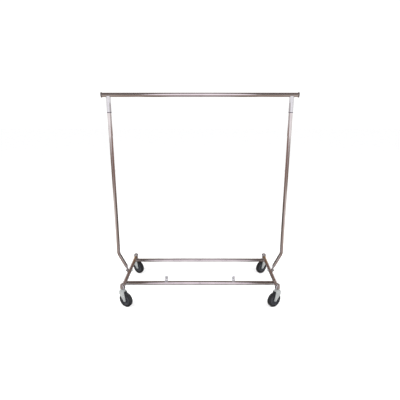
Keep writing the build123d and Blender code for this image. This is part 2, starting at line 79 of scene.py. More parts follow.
def make_camera():
    data = bpy.data.cameras.new("camera")
    data.sensor_width = SENSOR_WIDTH
    data.lens = FOCAL_PIXELS / IMAGE_SIDE * SENSOR_WIDTH
    camera = bpy.data.objects.new("camera", data)
    camera.location = CAMERA_PLACE
    camera.rotation_euler = (math.pi / 2 - CAMERA_PITCH, 0, 0)
    bpy.context.collection.objects.link(camera)
    bpy.context.scene.camera = camera


make_camera()


# ------------------------------------------------------------ node shorthand
class Nodes:
    """Adds and links shader nodes of one tree."""

    def __init__(self, tree):
        self.tree = tree
        tree.nodes.clear()

    def add(self, kind, inputs=None, **settings):
        node = self.tree.nodes.new(kind)
        for key, value in settings.items():
            setattr(node, key, value)
        for key, value in (inputs or {}).items():
            self.put(node.inputs[key], value)
        return node

    def put(self, socket, value):
        if isinstance(value, bpy.types.NodeSocket):
            self.tree.links.new(value, socket)
        else:
            socket.default_value = value

    def place(self, stretch=(1.0, 1.0, 1.0)):
        """Place on the object, which is also its place in the frame."""
        place = self.add("ShaderNodeTexCoord").outputs["Object"]
        return self.add("ShaderNodeMapping", {"Vector": place, "Scale": stretch}).outputs["Vector"]

    def split(self, vector):
        return self.add("ShaderNodeSeparateXYZ", {0: vector}).outputs

    def noise(self, place, scale, detail=4.0):
        node = self.add("ShaderNodeTexNoise", {"Vector": place, "Scale": scale, "Detail": detail,
                                               "Roughness": 0.55})
        return node.outputs["Fac"]

    def math(self, operation, first, second=0.0):
        return self.add("ShaderNodeMath", {0: first, 1: second}, operation=operation).outputs[0]

    def vector_math(self, operation, first, second=(0.0, 0.0, 0.0)):
        return self.add("ShaderNodeVectorMath", {0: first, 1: second}, operation=operation).outputs["Value"]

    def remap(self, value, low, high, to_low=0.0, to_high=1.0, smooth=False):
        node = self.add("ShaderNodeMapRange", {0: value, 1: low, 2: high, 3: to_low, 4: to_high})
        if smooth:
            node.interpolation_type = "SMOOTHSTEP"
        return node.outputs[0]

    def rise(self, value, start, end):
        return self.remap(value, start, end, smooth=True)

    def fall(self, value, start, end):
        return self.remap(value, start, end, 1.0, 0.0, smooth=True)

    def between(self, value, rising, falling):
        """1 from the end of rising to the start of falling, each a (start, end) pair."""
        return self.math("MULTIPLY", self.rise(value, *rising), self.fall(value, *falling))

    def mix(self, factor, first, second):
        node = self.add("ShaderNodeMix", {0: factor, 6: first, 7: second}, data_type="RGBA")
        return node.outputs[2]

    def mix_shader(self, factor, first, second):
        inputs = {0: factor, 1: first.outputs[0], 2: second.outputs[0]}
        return self.add("ShaderNodeMixShader", inputs)

    def for_mirrors(self, plain, mirrored):
        """Plain, except for a ray that a glossy surface sends out."""
        mirror_ray = self.add("ShaderNodeLightPath").outputs["Is Glossy Ray"]
        return self.mix_shader(mirror_ray, plain, mirrored)

    def bump(self, height, strength, distance=0.0004):
        node = self.add("ShaderNodeBump", {"Height": height, "Strength": strength, "Distance": distance})
        return node.outputs["Normal"]


def new_material(name):
    material = bpy.data.materials.new(name)
    material.use_nodes = True
    return material, Nodes(material.node_tree)


# ------------------------------------------------------------------ the stage
# The room that only mirrored rays see. Azimuth is counted in degrees from straight in front
# of the rack to either side, elevation in degrees above the horizon.
ROOM_LIGHT, ROOM_DARK = (0.225, 0.140, 0.102, 1), (0.155, 0.098, 0.074, 1)
CEILING_FROM, CEILING_COLOR = (50.0, 70.0), (0.21, 0.19, 0.19, 1)
DOORWAY_AZIMUTH, DOORWAY_ELEVATION = ((-1.0, 5.0), (21.0, 27.0)), ((3.0, 13.0), (53.0, 63.0))
DOORWAY_SHARE, DOORWAY_COLOR = 0.92, (0.034, 0.020, 0.015, 1)
STRIP_ELEVATION, STRIP_COLOR = ((-4.5, -1.5), (4.5, 7.5)), (0.98, 0.95, 0.96, 1)
STRIP_FADES, STRIP_FRONT, STRIP_BACK = (90.0, 150.0), 0.95, 0.25
WINDOW_AZIMUTH, WINDOW_ELEVATION = ((119.0, 125.0), (160.0, 166.0)), ((-9.0, -3.0), (24.0, 30.0))
WINDOW_SHARE, WINDOW_COLOR = 0.92, (0.74, 0.71, 0.72, 1)
OVAL_HALF_WIDTH, OVAL_MIDDLE, OVAL_HALF_HEIGHT = 9.5, 23.0, 36.0
OVAL_COLOR = (1.15, 1.06, 1.16, 1)
SURROUND_STRENGTH = 1.09

# The floor that only mirrored rays see glows with a painted reflection, painted light and shade.
# Its zones go by the distance from the middle of the rack and by the distance aside, to either side of it.
FLOOR_HALF = 30.0
FLOOR_TONES = (0.90, 0.90, 0.905, 1), (0.93, 0.93, 0.93, 1)
BEIGE = (0.32, 0.25, 0.215, 1)
# a painted lighter band around the rack, part of the painted reflection of the floor
NEAR_BAND_DISTANCE, NEAR_BAND_ASIDE = ((1.4, 2.0), (2.3, 2.8)), (0.25, 0.7)
NEAR_BAND_MIDDLE, NEAR_BAND_EDGE = (0.40, 0.37, 0.40, 1), (0.37, 0.265, 0.205, 1)
RING_DISTANCE, RING_ASIDE = ((1.2, 1.9), (3.6, 5.2)), (1.0, 2.0)
RING_COLOR = (0.90, 0.84, 0.80, 1)
INSIDE_DISTANCE = (0.6, 1.0)
DIM_ASIDE, OUTSIDE_ASIDE = (0.34, 0.52), (0.66, 0.80)
INSIDE_COLOR, DIM_COLOR, OUTSIDE_COLOR = (0.66, 0.62, 0.66, 1), (0.13, 0.10, 0.09, 1), (0.95, 0.93, 0.96, 1)
SHADE_DEPTH, SHADE_ASIDE = ((-0.42, -0.34), (-0.06, 0.02)), (0.60, 0.68)
SHADE_COLOR = (0.10, 0.08, 0.08, 1)
FAR_DISTANCE, FAR_COLOR = (4.6, 6.4), (0.22, 0.155, 0.125, 1)
HORIZON_DISTANCE, HORIZON_COLOR = (17.0, 21.0), (0.98, 0.95, 0.96, 1)

# the two lamps: at either side in front, aimed at the front casters
LAMP_PLACE = (2.8, -2.0, 2.5)
LAMP_TARGET = (0.62, -0.29, 0.15)
LAMP_SIDE = 1.1
LAMP_WATTS = 110.0


def make_world():
    """White for the camera and for lighting; the tubes mirror a brown room with a bright screen."""
    world = bpy.data.worlds.new("studio")
    bpy.context.scene.world = world
    world.use_nodes = True
    nodes = Nodes(world.node_tree)
    direction = nodes.add("ShaderNodeTexCoord").outputs["Generated"]
    part = nodes.split(direction)
    degrees = 180 / math.pi
    forward = nodes.math("MULTIPLY", part["Y"], -1.0)
    azimuth = nodes.math("ARCTAN2", nodes.math("ABSOLUTE", part["X"]), forward)
    azimuth = nodes.math("MULTIPLY", azimuth, degrees)
    elevation = nodes.math("MULTIPLY", nodes.math("ARCSINE", part["Z"]), degrees)

    mottle = nodes.remap(nodes.noise(direction, 5.0, 3.0), 0.3, 0.7)
    color = nodes.mix(mottle, ROOM_LIGHT, ROOM_DARK)
    color = nodes.mix(nodes.rise(elevation, *CEILING_FROM), color, CEILING_COLOR)
    # dark doorways beside the bright screen
    doorway = nodes.math("MULTIPLY", nodes.between(azimuth, *DOORWAY_AZIMUTH),
                         nodes.between(elevation, *DOORWAY_ELEVATION))
    color = nodes.mix(nodes.math("MULTIPLY", doorway, DOORWAY_SHARE), color, DOORWAY_COLOR)
    # bright strip along the horizon, weaker behind the rack
    share = nodes.remap(azimuth, *STRIP_FADES, STRIP_FRONT, STRIP_BACK, smooth=True)
    strip = nodes.math("MULTIPLY", nodes.between(elevation, *STRIP_ELEVATION), share)
    color = nodes.mix(strip, color, STRIP_COLOR)
    # windows behind the rack, to the left and right
    window = nodes.math("MULTIPLY", nodes.between(azimuth, *WINDOW_AZIMUTH),
                        nodes.between(elevation, *WINDOW_ELEVATION))
    color = nodes.mix(nodes.math("MULTIPLY", window, WINDOW_SHARE), color, WINDOW_COLOR)
    # the bright screen straight ahead, rounded at its ends
    across = nodes.math("POWER", nodes.math("DIVIDE", azimuth, OVAL_HALF_WIDTH), 2.0)
    height = nodes.math("DIVIDE", nodes.math("SUBTRACT", elevation, OVAL_MIDDLE), OVAL_HALF_HEIGHT)
    along = nodes.math("POWER", nodes.math("ABSOLUTE", height), 4.0)
    oval = nodes.fall(nodes.math("ADD", across, along), 0.8, 1.2)
    color = nodes.mix(oval, color, OVAL_COLOR)

    room = nodes.add("ShaderNodeBackground", {"Color": color, "Strength": 1.0})
    plain = nodes.add("ShaderNodeBackground", {"Color": (1, 1, 1, 1), "Strength": SURROUND_STRENGTH})
    nodes.add("ShaderNodeOutputWorld", {"Surface": nodes.for_mirrors(plain, room).outputs[0]})


def make_lamp(side):
    data = bpy.data.lights.new("front_lamp", "AREA")
    data.size = LAMP_SIDE
    data.energy = LAMP_WATTS
    lamp = bpy.data.objects.new("front_lamp", data)
    mirrored = Vector((side, 1, 1))
    place, target = Vector(LAMP_PLACE) * mirrored, Vector(LAMP_TARGET) * mirrored
    lamp.location = place
    lamp.rotation_euler = (target - place).to_track_quat("-Z", "Y").to_euler()
    lamp.visible_glossy = False
    bpy.context.collection.objects.link(lamp)


def make_plane(name, corners):
    mesh = bpy.data.meshes.new(name)
    mesh.from_pydata(corners, [], [(0, 1, 2, 3)])
    plane = bpy.data.objects.new(name, mesh)
    bpy.context.collection.objects.link(plane)
    return plane


def painted_reflection_floor_color(nodes, place):
    """Painted reflection of a floor: beige, paler before and behind the rack, a painted bright ring at its sides,
    painted light and shade under it.
    """
    distance = nodes.vector_math("LENGTH", place)
    part = nodes.split(place)
    aside = nodes.math("ABSOLUTE", part["X"])
    near_band = nodes.mix(nodes.rise(aside, *NEAR_BAND_ASIDE), NEAR_BAND_MIDDLE, NEAR_BAND_EDGE)
    color = nodes.mix(nodes.between(distance, *NEAR_BAND_DISTANCE), BEIGE, near_band)
    ring = nodes.math("MULTIPLY", nodes.between(distance, *RING_DISTANCE), nodes.rise(aside, *RING_ASIDE))
    color = nodes.mix(ring, color, RING_COLOR)
    # painted light and shade: pale under the middle of the rack, dim towards the side bars and bright outside them
    inside = nodes.fall(distance, *INSIDE_DISTANCE)
    under = nodes.mix(nodes.rise(aside, *DIM_ASIDE), INSIDE_COLOR, DIM_COLOR)
    under = nodes.mix(nodes.rise(aside, *OUTSIDE_ASIDE), under, OUTSIDE_COLOR)
    color = nodes.mix(inside, color, under)
    # a painted shade strip below the front bar, which darkens its lower edge in reflection
    shade = nodes.math("MULTIPLY", nodes.between(part["Y"], *SHADE_DEPTH), nodes.fall(aside, *SHADE_ASIDE))
    color = nodes.mix(nodes.math("MULTIPLY", shade, inside), color, SHADE_COLOR)
    color = nodes.mix(nodes.rise(distance, *FAR_DISTANCE), color, FAR_COLOR)
    return nodes.mix(nodes.rise(distance, *HORIZON_DISTANCE), color, HORIZON_COLOR)


def make_floor():
    """Pale floor; the tubes mirror a polished floor whose colours are a glowing painted reflection from
    painted_reflection_floor_color.
    """
    half = FLOOR_HALF
    floor = make_plane("floor", [(-half, -half, 0), (half, -half, 0), (half, half, 0), (-half, half, 0)])
    material, nodes = new_material("floor_pale")
    place = nodes.add("ShaderNodeTexCoord").outputs["Object"]
    tone = nodes.remap(nodes.noise(place, 3.0), 0.3, 0.7)
    plain = nodes.add("ShaderNodeBsdfDiffuse", {"Color": nodes.mix(tone, *FLOOR_TONES)})
    # painted reflection: for mirrored rays the floor glows with painted colour, though it is no lamp
    painted_glow = nodes.add("ShaderNodeEmission", {"Color": painted_reflection_floor_color(nodes, place), "Strength": 1.0})
    shine = nodes.add("ShaderNodeBsdfGlossy", {"Color": (1, 1, 1, 1), "Roughness": 0.12})
    fresnel = nodes.add("ShaderNodeFresnel", {"IOR": 1.9}).outputs[0]
    polished = nodes.mix_shader(fresnel, painted_glow, shine)
    nodes.add("ShaderNodeOutputMaterial", {"Surface": nodes.for_mirrors(plain, polished).outputs[0]})
    floor.data.materials.append(material)


def make_dark_screen():
    """Glowing brown screen in the middle plane that only mirrored rays see: a painted reflection that darkens the
    tubes' inner sides.
    """
    near, far, low, high = -0.78, 2.6, 0.01, 1.6
    clear_within, solid_from = 0.03, 0.28
    screen = make_plane("dark_screen", [(0, near, low), (0, far, low), (0, far, high), (0, near, high)])
    material, nodes = new_material("screen_brown_painted_reflection")
    place = nodes.add("ShaderNodeTexCoord").outputs["Object"]
    height = nodes.split(place)["Z"]
    # it thins out around the long bars, so that it begins softly in their mirror image
    gaps = [nodes.vector_math("DISTANCE", place, (0.0, depth, BAR_HEIGHT)) for _, depth in LONG_BARS]
    solid = nodes.rise(nodes.math("MINIMUM", *gaps), clear_within, solid_from)
    # painted reflection colours: darkest at the foot, lighter at the top
    foot, trunk, top = (0.095, 0.08, 0.07, 1), (0.26, 0.17, 0.15, 1), (0.55, 0.50, 0.50, 1)
    color = nodes.mix(nodes.remap(height, 0.4, 0.9), foot, trunk)
    color = nodes.mix(nodes.remap(height, 1.3, 1.42), color, top)
    painted_glow = nodes.add("ShaderNodeEmission", {"Color": color, "Strength": 1.0})
    clear = nodes.add("ShaderNodeBsdfTransparent")
    nodes.add("ShaderNodeOutputMaterial", {"Surface": nodes.mix_shader(solid, clear, painted_glow).outputs[0]})
    screen.data.materials.append(material)
    screen.visible_camera = False
    screen.visible_diffuse = False
    screen.visible_shadow = False
    screen.visible_transmission = False
    screen.visible_volume_scatter = False


bpy.context.scene.view_settings.view_transform = "Standard"
make_world()
make_floor()
make_dark_screen()
for _, lamp_side in SIDES:
    make_lamp(lamp_side)


# ------------------------------------------------------------------ materials
def finish_surface(nodes, color, roughness, normal=None, metallic=0.0, specular=0.5):
    shader = nodes.add("ShaderNodeBsdfPrincipled", {"Base Color": color, "Roughness": roughness,
                                                    "Metallic": metallic, "Specular IOR Level": specular})
    if normal is not None:
        nodes.put(shader.inputs["Normal"], normal)
    nodes.add("ShaderNodeOutputMaterial", {"Surface": shader.outputs[0]})


def chrome_tube(name="chrome_tube", painted_rear_reflection=False):
    """Bright plated tube; with painted_rear_reflection, a painted straw-coloured reflection towards the rear end.
    """
    material, nodes = new_material(name)
    place = nodes.place()
    smudge = nodes.noise(place, 9.0, 5.0)
    fine = nodes.noise(nodes.place((60.0, 60.0, 60.0)), 9.0, 2.0)
    roughness = nodes.math("ADD", nodes.remap(smudge, 0.35, 0.7, 0.02, 0.07),
                           nodes.remap(fine, 0.4, 0.8, 0.0, 0.03))
    clean, dull, straw = (0.83, 0.80, 0.79, 1), (0.72, 0.68, 0.68, 1), (0.86, 0.66, 0.40, 1)
    color = nodes.mix(nodes.remap(smudge, 0.3, 0.75), clean, dull)
    if painted_rear_reflection:
        # painted reflection: straw-coloured towards the rear end
        depth = nodes.split(place)["Y"]
        tint = nodes.math("MULTIPLY", nodes.remap(depth, 0.02, 0.22, 0.0, 0.75, smooth=True),
                          nodes.remap(nodes.noise(place, 16.0), 0.3, 0.6, 0.4, 1.0))
        color = nodes.mix(tint, color, straw)
    finish_surface(nodes, color, roughness, nodes.bump(nodes.noise(place, 140.0, 3.0), 0.012), metallic=1.0)
    return material


def chrome_fitting(name="chrome_fitting", metallic=0.96, polish=1.0, shade=1.0):
    """Plated fitting; polish scales the roughness, the lower the smoother, and shade the brightness, which
    darkened copies use as painted shade.
    """
    material, nodes = new_material(name)
    place = nodes.place()
    smudge = nodes.noise(place, 45.0, 4.0)
    clean = [shade * level for level in (0.88, 0.89, 0.91)] + [1]
    dull = [shade * level for level in (0.78, 0.79, 0.82)] + [1]
    color = nodes.mix(nodes.remap(smudge, 0.3, 0.7), clean, dull)
    roughness = nodes.remap(smudge, 0.3, 0.75, 0.14 * polish, 0.28 * polish)
    grain = nodes.bump(nodes.noise(place, 420.0, 3.0), 0.06 * polish)
    finish_surface(nodes, color, roughness, grain, metallic)
    return material


def zinc_plate():
    """Grey, slightly satin plating with a fine grain."""
    material, nodes = new_material("zinc")
    place = nodes.place()
    grain = nodes.noise(place, 260.0, 4.0)
    cloud = nodes.noise(place, 38.0, 5.0)
    color = nodes.mix(nodes.remap(cloud, 0.3, 0.7), (0.45, 0.47, 0.465, 1), (0.35, 0.375, 0.38, 1))
    roughness = nodes.math("ADD", nodes.remap(cloud, 0.3, 0.7, 0.3, 0.42),
                           nodes.remap(grain, 0.3, 0.7, 0.0, 0.1))
    finish_surface(nodes, color, roughness, nodes.bump(grain, 0.12), metallic=0.4)
    return material


def spring_steel():
    """Blued steel."""
    material, nodes = new_material("spring_steel")
    cloud = nodes.noise(nodes.place(), 120.0)
    color = nodes.mix(cloud, (0.16, 0.17, 0.20, 1), (0.30, 0.29, 0.28, 1))
    finish_surface(nodes, color, nodes.remap(cloud, 0.3, 0.7, 0.25, 0.4), metallic=1.0)
    return material


def rubber():
    """Black tyre rubber, greyed here and there by dust."""
    material, nodes = new_material("rubber")
    place = nodes.place()
    grain = nodes.noise(place, 520.0, 3.0)
    dust = nodes.noise(place, 30.0, 6.0)
    black, dusty = (0.011, 0.012, 0.014, 1), (0.055, 0.056, 0.06, 1)
    color = nodes.mix(nodes.remap(dust, 0.45, 0.75, 0.0, 0.4), black, dusty)
    roughness = nodes.remap(dust, 0.3, 0.75, 0.42, 0.65)
    finish_surface(nodes, color, roughness, nodes.bump(grain, 0.18), specular=0.35)
    return material


def core_plastic():
    """Moulded charcoal plastic of the wheel centres."""
    material, nodes = new_material("core_plastic")
    place = nodes.place()
    grain = nodes.noise(place, 700.0, 2.0)
    cloud = nodes.noise(place, 24.0)
    color = nodes.mix(nodes.remap(cloud, 0.35, 0.7), (0.030, 0.033, 0.040, 1), (0.055, 0.058, 0.066, 1))
    finish_surface(nodes, color, nodes.remap(cloud, 0.3, 0.7, 0.34, 0.5), nodes.bump(grain, 0.1, 0.0003))
    return material


def collar_plastic():
    """Dark nylon of the rings under the sockets."""
    material, nodes = new_material("collar_plastic")
    place = nodes.place()
    cloud = nodes.noise(place, 80.0)
    color = nodes.mix(cloud, (0.05, 0.045, 0.06, 1), (0.09, 0.08, 0.10, 1))
    grain = nodes.bump(nodes.noise(place, 600.0), 0.1, 0.0003)
    finish_surface(nodes, color, nodes.remap(cloud, 0.3, 0.7, 0.3, 0.45), grain)
    return material


SLOT_MATERIALS = {
    "chrome_tube": chrome_tube(),
    "chrome_fitting": chrome_fitting(),
    "zinc": zinc_plate(),
    "spring_steel": spring_steel(),
    "tyre": rubber(),
    "core_plastic": core_plastic(),
    "collar_plastic": collar_plastic(),
}
# smoother chrome, darkened a little as painted shade
POLISHED_SHADED_MATERIAL = chrome_fitting("chrome_polished_shaded", metallic=1.0, polish=0.35, shade=0.92)
# nodes that look different from the rest of their slot, each on the left and on the right; the darkened rear caps,
# end caps, sockets and lugs carry painted shade
PAIRED_MATERIALS = {
    "side_bar": chrome_tube("chrome_side_bar", painted_rear_reflection=True),
    "storage_clip": chrome_fitting("chrome_clip", metallic=0.75, shade=0.85),
    "corner_cap_front": chrome_fitting("chrome_front_cap", metallic=0.97, polish=0.5),
    # painted shade: a darker copy of the front caps' chrome
    "corner_cap_rear": chrome_fitting("chrome_rear_cap_painted_shade", metallic=0.9, polish=0.8, shade=0.8),
    # painted shade: darkened so that the caps lose their bright reflection
    "end_cap": chrome_fitting("chrome_end_cap_painted_shade", metallic=1.0, shade=0.6),
    "rail_socket": POLISHED_SHADED_MATERIAL,
    "pivot_lug": POLISHED_SHADED_MATERIAL,
}


def dress_cad_nodes():
    """Gives every CAD node the material of its pair, or else of its slot."""
    for subpart in frame["record"]["subparts"]:
        node = subpart["node"]
        pair = node.removesuffix("_left").removesuffix("_right")
        materials = frame["nodes"][node].data.materials
        materials.clear()
        materials.append(PAIRED_MATERIALS.get(pair, SLOT_MATERIALS[subpart["material_slot"]]))


dress_cad_nodes()


# --------------------------------------------------------------- detail meshes
SHARP_ANGLE = math.radians(32)


def even_angles(count):
    return [2 * math.pi * i / count for i in range(count)]


def revolve(profile_of, angles, ring=False):
    """Vertices and faces of a solid turned about local X.

    profile_of(i, angle) lists (along, radius) points, or (along, radius, turn) for a point that
    stands at an angle of its own. A ring's profile is a closed loop; otherwise it starts and
    ends on the axis.
    """
    vertices, faces, columns = [], [], []
    poles = {}
    for i, angle in enumerate(angles):
        column = []
        profile = profile_of(i, angle)
        for j, (along, radius, *turn) in enumerate(profile):
            on_axis = not ring and j in (0, len(profile) - 1)
            if on_axis and j in poles:
                column.append(poles[j])
                continue
            if on_axis:
                poles[j] = len(vertices)
            column.append(len(vertices))
            turned = turn[0] if turn else angle
            vertices.append(Vector((along, radius * math.cos(turned), radius * math.sin(turned))))
        columns.append(column)
    for i, here in enumerate(columns):
        there = columns[(i + 1) % len(columns)]
        steps = len(here) if ring else len(here) - 1
        for j in range(steps):
            k = (j + 1) % len(here)
            face = [here[j], there[j], there[k], here[k]]
            faces.append(list(dict.fromkeys(face)))
    return vertices, faces


def mirror_section(half):
    """Closed section: half, which runs from bore to rim, and its mirror image back to the bore."""
    return half + [(-along, radius) for along, radius in reversed(half)]


def arc_points(center, radius, start, end, count):
    """Points of an arc in (along, radius) terms, angles in degrees from the axle direction."""
    points = []
    for i in range(count + 1):
        angle = math.radians(start + (end - start) * i / count)
        points.append((center[0] + radius * math.cos(angle), center[1] + radius * math.sin(angle)))
    return points


def local_frame(origin, along):
    """Matrix whose X axis points along and whose Z axis points up."""
    x_axis = Vector(along).normalized()
    y_axis = Vector((0, 0, 1)).cross(x_axis).normalized()
    z_axis = x_axis.cross(y_axis)
    matrix = Matrix((x_axis, y_axis, z_axis)).transposed().to_4x4()
    matrix.translation = origin
    return matrix


def make_piece(name, solids, body, slot, replaced=()):
    """One object from several solids, each (vertices, faces, matrix)."""
    vertices, faces = [], []
    for points, polygons, matrix in solids:
        start = len(vertices)
        vertices.extend(matrix @ point for point in points)
        faces.extend([start + index for index in polygon] for polygon in polygons)
    mesh = bpy.data.meshes.new(name)
    mesh.from_pydata(vertices, [], faces)
    shell = bmesh.new()
    shell.from_mesh(mesh)
    bmesh.ops.recalc_face_normals(shell, faces=shell.faces)
    shell.to_mesh(mesh)
    shell.free()
    mesh.shade_smooth()
    mesh.set_sharp_from_angle(angle=SHARP_ANGLE)
    mesh.materials.append(SLOT_MATERIALS[slot])
    piece = bpy.data.objects.new(name, mesh)
    bpy.context.collection.objects.link(piece)
    if replaced:
        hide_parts(*replaced)
    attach(piece, body)


# ------------------------------------------------------------- bolts and nuts
CHAMFER_SLOPE = math.tan(math.radians(30))
HEX_FACE = 0.93                              # radius of the flat end face, in half widths across flats
ACORN_FACE = 0.95
BEVEL = 0.0004
BOLT_STEPS = 48
THREAD_PITCH = 0.0008
THREAD_DEPTH = 0.0004
WASHER_THICK = 0.001

# axle bolt of a caster, along the axle from the middle of the wheel
FORK_OUTER = 0.020
AXLE_SHANK_R = 0.00398
AXLE_NUT_BORE_R = 0.00402
AXLE_FLAT_HALF = 0.0065
AXLE_WASHER_R = 0.0088
AXLE_HEAD = 0.0053
AXLE_NUT = 0.0065
AXLE_THREAD_FROM = 0.0066                    # this and the tip count from the fork
AXLE_TIP = 0.0085

# bolt and acorn nut of a foot
PIVOT_SHANK_R = 0.005
PIVOT_CLEARANCE = 0.00002
PIVOT_WASHER_R = 0.0105
PIVOT_WASHER_THICK = 0.0011
PIVOT_THREAD_FROM = 0.001                    # inside the nut
ACORN_HEX = 0.0070
ACORN_DOME_R = 0.0076


def hex_radius(angle, flat_half):
    """Distance to the side of a hexagon at an angle; flat_half is half the width across flats."""
    return flat_half / math.cos((angle % (math.pi / 3)) - math.pi / 6)


def hex_nut(base, top, flat_half, bore, washer):
    """Ring solid: a washer, then a chamfered hexagon up to top."""
    face = HEX_FACE * flat_half
    rise = base + WASHER_THICK

    def profile(_, angle):
        outer = hex_radius(angle, flat_half)
        chamfer = top - (outer - face) * CHAMFER_SLOPE
        return [(base, bore), (base, washer), (rise, washer), (rise, outer),
                (chamfer, outer), (top, face), (top, bore)]
    return revolve(profile, even_angles(BOLT_STEPS), ring=True)


def hex_bolt(seat, head_top, end, flat_half, shank, washer, washer_thick, thread_from):
    """Bolt turned about its axis: hexagon head, washer, shank, and threads near the end."""
    face = HEX_FACE * flat_half
    under = seat - washer_thick
    thread = []
    along = thread_from
    while end - along > THREAD_PITCH:
        thread += [(along, shank), (along + THREAD_PITCH / 2, shank - THREAD_DEPTH)]
        along += THREAD_PITCH
    tip = [(end - BEVEL, shank - 0.0002), (end, shank - 0.0010), (end, 0.0)]

    def profile(_, angle):
        outer = hex_radius(angle, flat_half)
        chamfer = head_top + (outer - face) * CHAMFER_SLOPE
        head = [(head_top, 0.0), (head_top, face), (chamfer, outer), (under, outer), (under, washer)]
        return head + [(seat, washer), (seat, shank)] + thread + tip
    return revolve(profile, even_angles(BOLT_STEPS))


def acorn_nut(base, top, flat_half):
    """Hexagon with both ends chamfered, and a dome of a sphere that ends at top."""
    face = ACORN_FACE * flat_half
    hex_top = base + ACORN_HEX
    dome = top - hex_top
    ball_r = (ACORN_DOME_R ** 2 + dome ** 2) / (2 * dome)
    rim = math.asin(min(1.0, ACORN_DOME_R / ball_r))
    dome_steps = 8
    cap = []
    for step in range(1, dome_steps):
        turn = rim * (1 - step / dome_steps)
        cap.append((top - ball_r * (1 - math.cos(turn)), ball_r * math.sin(turn)))

    def profile(_, angle):
        outer = hex_radius(angle, flat_half)
        chamfer = (outer - face) * CHAMFER_SLOPE
        bore = [(hex_top, 0.0), (hex_top, PIVOT_SHANK_R), (base + BEVEL, PIVOT_SHANK_R),
                (base, PIVOT_SHANK_R + BEVEL)]
        hexagon = [(base, face), (base + chamfer, outer), (hex_top - chamfer, outer), (hex_top, face),
                   (hex_top, ACORN_DOME_R)]
        return bore + hexagon + cap + [(top, 0.0)]
    return revolve(profile, even_angles(BOLT_STEPS))


def make_pivots():
    """Bolt and acorn nut on which each foot hinges; lengths along X come from the right-hand pair."""
    head_top, bolt_end = (corner.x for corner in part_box("pivot_bolt_right"))
    nut_base, nut_top = (corner.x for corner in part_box("pivot_nut_right"))
    flat_half = half_size("pivot_nut_right").z
    bolt = hex_bolt(SIDE_BAR_X - TUBE_R, head_top, bolt_end, flat_half, PIVOT_SHANK_R - PIVOT_CLEARANCE,
                    PIVOT_WASHER_R, PIVOT_WASHER_THICK, nut_base + PIVOT_THREAD_FROM)
    nut = acorn_nut(nut_base, nut_top, flat_half)
    for side_name, side in SIDES:
        place = local_frame(Vector((0, 0, BAR_HEIGHT)), (side, 0, 0))
        make_piece(f"detail_pivot_bolt_{side_name}", [(*bolt, place)], "base_frame", "zinc",
                   [f"pivot_bolt_{side_name}"])
        make_piece(f"detail_pivot_nut_{side_name}", [(*nut, place)], "base_frame", "chrome_fitting",
                   [f"pivot_nut_{side_name}"])


# --------------------------------------------------------------------- wheels
# Half widths along the axle and radii about it. The outlines are the CAD's; the raised rings
# and the mould seam lie within them, and the ribs stand on the web between hub and rim.
WHEEL_R = half_size("tyre_front_left").z
TYRE_HALF = 0.015
TYRE_BORE_R = 0.0415
TREAD_ROUND = 0.008
SIDEWALL_HALF = TYRE_HALF - 0.0007
RING_HALF = TYRE_HALF - 0.0001               # raised ring on the sidewall
SEAM_HALF = 0.0006
SEAM_PROUD = 0.00025
HUB_HALF = 0.0162
HUB_R = 0.013
AXLE_BORE_R = 0.00406
WEB_HALF = 0.006
WEB_RADII = (0.019, 0.025)                   # points along the web that keep the ribs' width
RIM_HALF = 0.013
RIM_BORE_R = 0.035
RIBS = 6
RIB_TOP = 0.0104
RIB_HALF = 0.0012
RIB_FOOT = 1.35                              # half width at its foot, in RIB_HALF
RIB_GAP_STEPS = 9
RIB_GAP_START, RIB_GAP_PARTS = 0.35, RIB_GAP_STEPS + 1.6
WHEEL_STEPS = 96


def tyre_profile():
    """Closed section: bore, bead, sidewall with two raised rings, rounded tread and mould seam."""
    crown = WHEEL_R - SEAM_PROUD
    half = [
        (TYRE_HALF - 0.0014, TYRE_BORE_R),
        (TYRE_HALF - 0.0004, TYRE_BORE_R + 0.0005),
        (TYRE_HALF, TYRE_BORE_R + 0.0014),
        (TYRE_HALF, TYRE_BORE_R + 0.0026),
        (SIDEWALL_HALF, TYRE_BORE_R + 0.0033),
        (SIDEWALL_HALF, TYRE_BORE_R + 0.0058),
        (RING_HALF, TYRE_BORE_R + 0.0063),
        (RING_HALF, TYRE_BORE_R + 0.0074),
        (SIDEWALL_HALF, TYRE_BORE_R + 0.0079),
        (TYRE_HALF - 0.0005, TYRE_BORE_R + 0.0096),
    ]
    half += arc_points((TYRE_HALF - TREAD_ROUND, crown - TREAD_ROUND), TREAD_ROUND, 2, 84, 10)
    half += [(SEAM_HALF, crown), (SEAM_HALF / 2, WHEEL_R)]
    return mirror_section(half)


def core_columns():
    """Columns round the wheel centre, each (angle of its rib, offset in rib halves, on the rib's top)."""
    columns = []
    sector = 2 * math.pi / RIBS
    for rib in range(RIBS):
        angle = rib * sector
        columns += [(angle, -RIB_FOOT, False), (angle, -1.0, True),
                    (angle, 1.0, True), (angle, RIB_FOOT, False)]
        for step in range(1, RIB_GAP_STEPS + 1):
            columns.append((angle + sector * (step + RIB_GAP_START) / RIB_GAP_PARTS, 0.0, False))
    return columns


def core_profile(angle, offset, ribbed):
    """Closed section of the wheel centre at one column; ribs keep a constant width along the web."""
    web = RIB_TOP if ribbed else WEB_HALF
    half = [
        (HUB_HALF - 0.0004, AXLE_BORE_R),
        (HUB_HALF, AXLE_BORE_R + 0.0006),
        (HUB_HALF, HUB_R - 0.0010),
        (HUB_HALF - 0.0008, HUB_R),
        (web + 0.0014, HUB_R + 0.0003),
        (web, HUB_R + 0.0016),
        *((web, radius) for radius in WEB_RADII),
        (web, RIM_BORE_R - 0.0018),
        (web + 0.0012, RIM_BORE_R - 0.0003),
        (RIM_HALF - 0.0006, RIM_BORE_R),
        (RIM_HALF, RIM_BORE_R + 0.0006),
        (RIM_HALF, TYRE_BORE_R - 0.0008),
        (RIM_HALF - 0.0006, TYRE_BORE_R - 0.0001),
    ]
    return [(along, radius, angle + offset * math.asin(RIB_HALF / max(radius, HUB_R)))
            for along, radius in mirror_section(half)]


